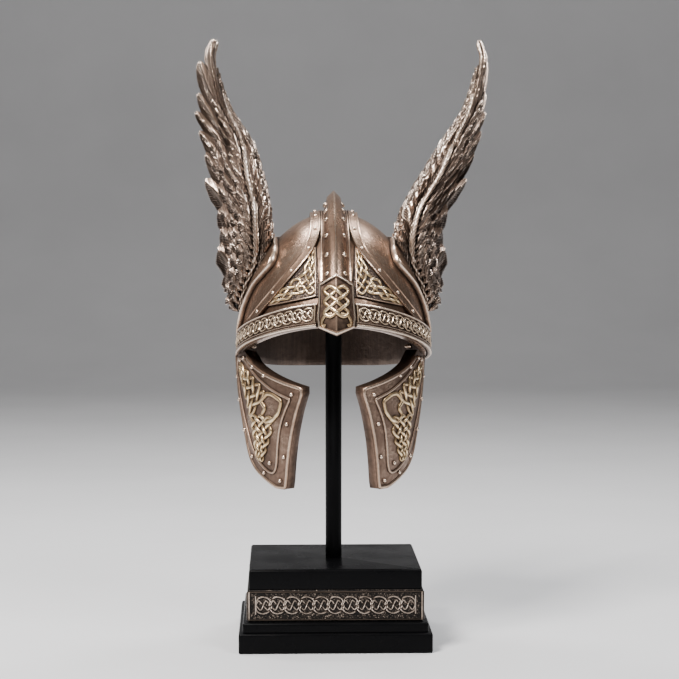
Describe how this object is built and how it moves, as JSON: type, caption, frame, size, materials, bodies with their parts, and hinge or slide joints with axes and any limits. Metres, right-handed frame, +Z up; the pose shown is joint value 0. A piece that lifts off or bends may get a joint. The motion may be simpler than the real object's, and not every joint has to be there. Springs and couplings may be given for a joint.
{
  "type": "winged norse helmet on display stand",
  "caption": "Small cast bronze-coloured norse helmet with feather wings, keeled crest, knotwork bands and cheek guards, held up by a black pole on a stepped base.",
  "frame": {"origin": "centre of the base's underside", "axes": "+Z up through the pole, -Y the way the helmet faces, so +X is to the right as seen from the front"},
  "size_m": [0.1699, 0.1299, 0.3424],
  "materials": {
    "bronze": "aged bronze with rubbed highlights and dark recesses",
    "knot_bronze": "dark aged bronze ground under pale gold knotwork",
    "feather_bronze": "aged bronze with bright feather edges and dark grooves",
    "stand_black": "satin black lacquer",
    "frieze": "dark bronze frieze with a rubbed plait"
  },
  "bodies": {
    "root": {"base_plinth": "stand_black", "base_step": "stand_black", "base_frieze": "frieze", "base_block": "stand_black", "pole": "stand_black", "dome": "bronze", "crest": "bronze", "brow_band": "knot_bronze", "brow_plate": "knot_bronze", "strap_left": "bronze", "strap_right": "bronze", "knot_panel_left": "knot_bronze", "knot_panel_right": "knot_bronze", "wing_plate_left": "bronze", "wing_plate_right": "bronze", "wing_left": "feather_bronze", "wing_right": "feather_bronze", "cheek_guard_left": "bronze", "cheek_guard_right": "bronze"}
  },
  "joints": []
}
